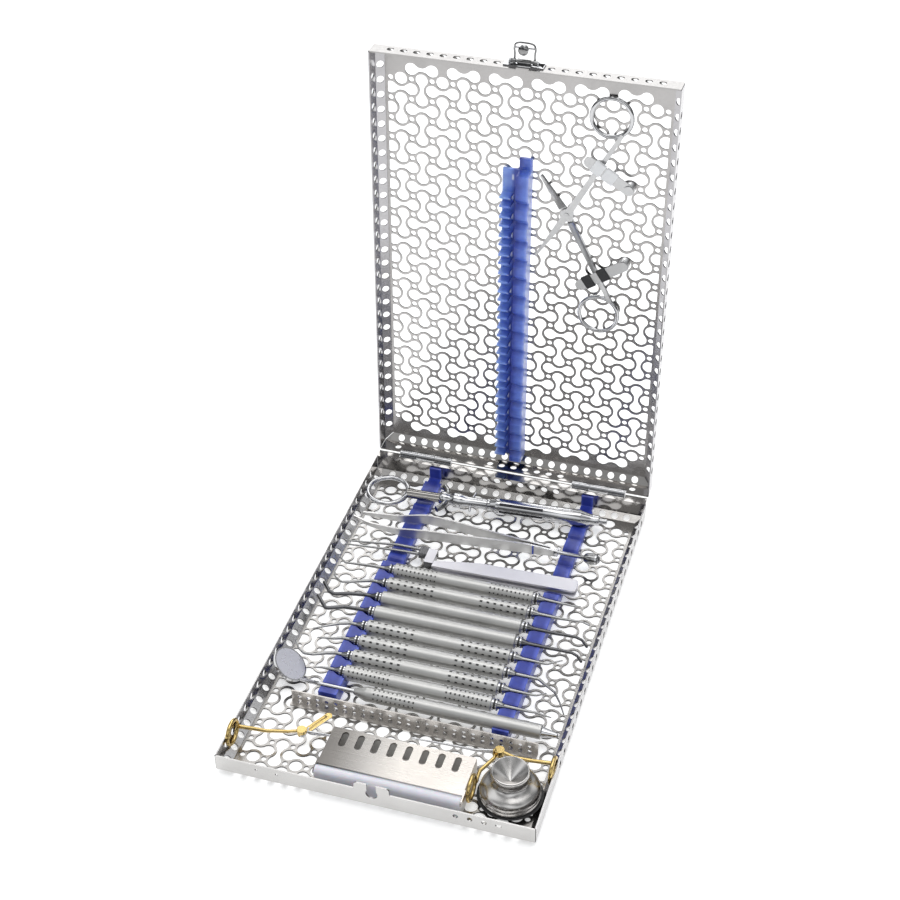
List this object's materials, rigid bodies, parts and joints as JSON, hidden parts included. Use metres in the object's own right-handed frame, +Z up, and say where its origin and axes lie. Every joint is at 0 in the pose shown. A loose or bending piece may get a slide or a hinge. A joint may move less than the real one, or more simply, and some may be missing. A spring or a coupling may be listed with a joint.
{
  "type": "dental instrument cassette",
  "caption": "Perforated stainless steel tray cassette with a hinged lid, latch and silicone rails, standing open with dental instruments seated in it.",
  "frame": {"origin": "middle of the base tray's underside", "axes": "+X right, +Y towards the hinge, +Z up"},
  "size_m": [0.187, 0.3159, 0.3169],
  "materials": {
    "tray_steel": "electropolished stainless sheet",
    "bright_steel": "polished stainless",
    "satin_handle": "satin stainless",
    "blue_silicone": "matte silicone",
    "black_rubber": "matte rubber",
    "clear_sleeve": "milky silicone tube",
    "gold_finish": "gold-plated handles on steel blades",
    "pale_plastic": "pale translucent polymer",
    "mirror_glass": "front-surface mirror"
  },
  "bodies": {
    "base": {"base_floor": "tray_steel", "base_front_wall": "tray_steel", "base_back_wall": "tray_steel", "base_left_wall": "tray_steel", "base_right_wall": "tray_steel", "divider": "tray_steel", "base_hinge_leaves": "bright_steel", "hinge_pins": "bright_steel", "base_left_rail": "blue_silicone", "base_right_rail": "blue_silicone"},
    "lid": {"lid_panel": "tray_steel", "lid_front_wall": "tray_steel", "lid_hinge_wall": "tray_steel", "lid_left_wall": "tray_steel", "lid_right_wall": "tray_steel", "lid_hinge_leaves": "bright_steel", "latch_bracket": "bright_steel", "clip_rivets": "bright_steel", "forceps_upper_half": "bright_steel", "lid_rail": "blue_silicone"},
    "latch": {"latch_lever": "bright_steel"},
    "upper_clip": {"upper_clip": "bright_steel", "upper_clip_sleeves": "clear_sleeve"},
    "lower_clip": {"lower_clip": "bright_steel", "lower_clip_sleeves": "black_rubber"},
    "forceps_lower_half": {"forceps_lower_half": "bright_steel"},
    "instrument_1": {"instrument_1_handle": "satin_handle", "instrument_1_tips": "bright_steel"},
    "instrument_2": {"instrument_2_handle": "satin_handle", "instrument_2_tips": "bright_steel"},
    "instrument_3": {"instrument_3_handle": "satin_handle", "instrument_3_tips": "bright_steel"},
    "instrument_4": {"instrument_4_handle": "satin_handle", "instrument_4_tips": "bright_steel"},
    "instrument_5": {"instrument_5_handle": "satin_handle", "instrument_5_tips": "bright_steel"},
    "instrument_6": {"instrument_6_handle": "satin_handle", "instrument_6_tips": "bright_steel"},
    "instrument_7": {"instrument_7_handle": "satin_handle", "instrument_7_tips": "bright_steel"},
    "instrument_8": {"instrument_8_handle": "satin_handle", "instrument_8_tips": "bright_steel"},
    "mirror": {"mirror_handle": "satin_handle", "mirror_head": "bright_steel", "mirror_glass": "mirror_glass"},
    "probe_tweezers": {"probe_tweezers_legs": "bright_steel", "probe_tweezers_heel": "bright_steel"},
    "flat_tweezers": {"flat_tweezers_grips": "satin_handle", "flat_tweezers_joint": "bright_steel", "flat_tweezers_prongs": "bright_steel"},
    "syringe": {"syringe_barrel": "bright_steel"},
    "syringe_plunger": {"syringe_plunger": "bright_steel"},
    "left_scissors": {"left_scissors_outer": "gold_finish", "left_scissors_inner": "gold_finish"},
    "right_scissors": {"right_scissors_outer": "gold_finish", "right_scissors_inner": "gold_finish"},
    "box": {"box_body": "pale_plastic"},
    "box_cover": {"box_cover": "tray_steel"},
    "well": {"well": "satin_handle", "well_ring": "black_rubber"}
  },
  "joints": [
    {"name": "lid_hinge", "type": "hinge", "parent": "base", "child": "lid", "pos_m": [0, 0.1468, 0.0146], "axis": [-1, 0, 0], "range_deg": [-92.9, 0]},
    {"name": "latch_turn", "type": "hinge", "parent": "lid", "child": "latch", "pos_m": [0, 0.16761, 0.30492], "axis": [-1, 0, 0], "range_deg": [-90, 0]},
    {"name": "upper_clip_swivel", "type": "hinge", "parent": "lid", "child": "upper_clip", "pos_m": [0.0653, 0.16636, 0.23074], "axis": [0, 0.9987, -0.0506], "range_deg": [0, 60]},
    {"name": "lower_clip_swivel", "type": "hinge", "parent": "lid", "child": "lower_clip", "pos_m": [0.0649, 0.16375, 0.1792], "axis": [0, -0.9987, 0.0506], "range_deg": [0, 55]},
    {"name": "forceps_pivot", "type": "hinge", "parent": "lid", "child": "forceps_lower_half", "pos_m": [0.0277, 0.16856, 0.2069], "axis": [0, -0.9987, 0.0506], "range_deg": [0, 11]},
    {"name": "instrument_1_lift", "type": "slide", "parent": "base", "child": "instrument_1", "axis": [0, 0, 1], "range_m": [0, 0.035]},
    {"name": "instrument_2_lift", "type": "slide", "parent": "base", "child": "instrument_2", "axis": [0, 0, 1], "range_m": [0, 0.035]},
    {"name": "instrument_3_lift", "type": "slide", "parent": "base", "child": "instrument_3", "axis": [0, 0, 1], "range_m": [0, 0.035]},
    {"name": "instrument_4_lift", "type": "slide", "parent": "base", "child": "instrument_4", "axis": [0, 0, 1], "range_m": [0, 0.035]},
    {"name": "instrument_5_lift", "type": "slide", "parent": "base", "child": "instrument_5", "axis": [0, 0, 1], "range_m": [0, 0.035]},
    {"name": "instrument_6_lift", "type": "slide", "parent": "base", "child": "instrument_6", "axis": [0, 0, 1], "range_m": [0, 0.035]},
    {"name": "instrument_7_lift", "type": "slide", "parent": "base", "child": "instrument_7", "axis": [0, 0, 1], "range_m": [0, 0.035]},
    {"name": "instrument_8_lift", "type": "slide", "parent": "base", "child": "instrument_8", "axis": [0, 0, 1], "range_m": [0, 0.035]},
    {"name": "mirror_lift", "type": "slide", "parent": "base", "child": "mirror", "axis": [0, 0, 1], "range_m": [0, 0.035]},
    {"name": "probe_tweezers_lift", "type": "slide", "parent": "base", "child": "probe_tweezers", "axis": [0, 0, 1], "range_m": [0, 0.035]},
    {"name": "flat_tweezers_lift", "type": "slide", "parent": "base", "child": "flat_tweezers", "axis": [0, 0, 1], "range_m": [0, 0.035]},
    {"name": "syringe_lift", "type": "slide", "parent": "base", "child": "syringe", "axis": [0, 0, 1], "range_m": [0, 0.035]},
    {"name": "plunger_slide", "type": "slide", "parent": "syringe", "child": "syringe_plunger", "axis": [0.9981, 0.061, 0], "range_m": [0, 0.015]},
    {"name": "left_scissors_lift", "type": "slide", "parent": "base", "child": "left_scissors", "axis": [0, 0, 1], "range_m": [0, 0.035]},
    {"name": "right_scissors_lift", "type": "slide", "parent": "base", "child": "right_scissors", "axis": [0, 0, 1], "range_m": [0, 0.035]},
    {"name": "box_lift", "type": "slide", "parent": "base", "child": "box", "axis": [0, 0, 1], "range_m": [0, 0.035]},
    {"name": "box_cover_hinge", "type": "hinge", "parent": "box", "child": "box_cover", "pos_m": [0.005, -0.1328, 0.0131], "axis": [1, 0, 0], "range_deg": [0, 100]},
    {"name": "well_lift", "type": "slide", "parent": "base", "child": "well", "axis": [0, 0, 1], "range_m": [0, 0.035]}
  ]
}
